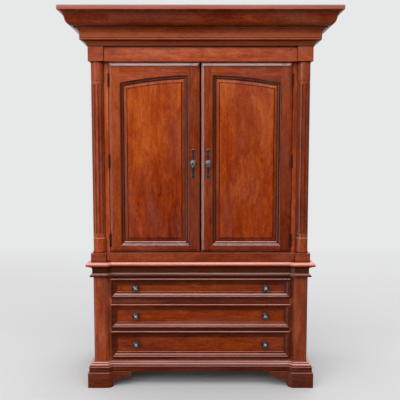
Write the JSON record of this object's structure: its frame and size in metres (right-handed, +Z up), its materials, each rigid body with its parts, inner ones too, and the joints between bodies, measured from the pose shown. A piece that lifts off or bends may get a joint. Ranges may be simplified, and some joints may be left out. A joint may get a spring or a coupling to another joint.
{
  "type": "television armoire",
  "caption": "Tall television armoire: arched raised-panel doors between fluted half columns under a deep mitred crown, standing on a breakfront chest of drawers with bracket feet.",
  "frame": {"origin": "on the floor, in the middle of the overall width and depth, which the cornice top sets", "axes": "+X to the right seen from the front, +Y to the back, +Z up; the doors and drawers face -Y"},
  "size_m": [1.498, 0.72, 2.1],
  "materials": {
    "cherry_wood": "satin glazed cherry stain",
    "interior_wood": "plain sealed wood",
    "back_plywood": "stained plywood",
    "aged_iron": "dark aged pewter tone",
    "hinge_steel": "antiqued"
  },
  "bodies": {
    "case": {"front_foot_left": "cherry_wood", "front_foot_right": "cherry_wood", "rear_feet": "cherry_wood", "foot_brackets": "cherry_wood", "base_moulding_center": "cherry_wood", "base_moulding_left": "cherry_wood", "base_moulding_right": "cherry_wood", "chest_post_left": "cherry_wood", "chest_post_right": "cherry_wood", "chest_side_left": "cherry_wood", "chest_side_right": "cherry_wood", "chest_back": "back_plywood", "chest_bottom": "cherry_wood", "lower_divider": "cherry_wood", "upper_divider": "cherry_wood", "chest_top_rail": "cherry_wood", "chest_top": "cherry_wood", "waist_moulding_center": "cherry_wood", "waist_moulding_left": "cherry_wood", "waist_moulding_right": "cherry_wood", "cabinet_side_left": "cherry_wood", "cabinet_side_right": "cherry_wood", "cabinet_bottom": "interior_wood", "cabinet_top": "interior_wood", "cabinet_back": "back_plywood", "plinth_rail": "cherry_wood", "plinth_blocks": "cherry_wood", "cabinet_stile_left": "cherry_wood", "cabinet_stile_right": "cherry_wood", "column_left": "cherry_wood", "column_right": "cherry_wood", "frieze_rail": "cherry_wood", "frieze_blocks": "cherry_wood", "crown_front": "cherry_wood", "crown_sides": "cherry_wood", "cornice_top": "cherry_wood", "shelf": "interior_wood", "shelf_pins": "hinge_steel", "frame_hinge_leaves": "hinge_steel"},
    "left_door": {"left_door_stiles": "cherry_wood", "left_door_rails": "cherry_wood", "left_door_moulding": "cherry_wood", "left_door_panel": "cherry_wood", "left_door_pull": "aged_iron", "left_door_hinge_leaves": "hinge_steel"},
    "right_door": {"right_door_stiles": "cherry_wood", "right_door_rails": "cherry_wood", "right_door_moulding": "cherry_wood", "right_door_panel": "cherry_wood", "right_door_pull": "aged_iron", "right_door_hinge_leaves": "hinge_steel"},
    "top_drawer": {"top_drawer_front": "cherry_wood", "top_drawer_box": "interior_wood", "top_drawer_knobs": "aged_iron"},
    "middle_drawer": {"middle_drawer_front": "cherry_wood", "middle_drawer_box": "interior_wood", "middle_drawer_knobs": "aged_iron"},
    "bottom_drawer": {"bottom_drawer_front": "cherry_wood", "bottom_drawer_box": "interior_wood", "bottom_drawer_knobs": "aged_iron"}
  },
  "joints": [
    {"name": "left_door_hinge", "type": "hinge", "parent": "case", "child": "left_door", "pos_m": [-0.5115, -0.1885, 1.3005], "axis": [0, 0, -1], "range_deg": [0, 135]},
    {"name": "right_door_hinge", "type": "hinge", "parent": "case", "child": "right_door", "pos_m": [0.5115, -0.1885, 1.3005], "axis": [0, 0, 1], "range_deg": [0, 135]},
    {"name": "top_drawer_slide", "type": "slide", "parent": "case", "child": "top_drawer", "axis": [0, -1, 0], "range_m": [0, 0.4]},
    {"name": "middle_drawer_slide", "type": "slide", "parent": "case", "child": "middle_drawer", "axis": [0, -1, 0], "range_m": [0, 0.4]},
    {"name": "bottom_drawer_slide", "type": "slide", "parent": "case", "child": "bottom_drawer", "axis": [0, -1, 0], "range_m": [0, 0.4]}
  ]
}
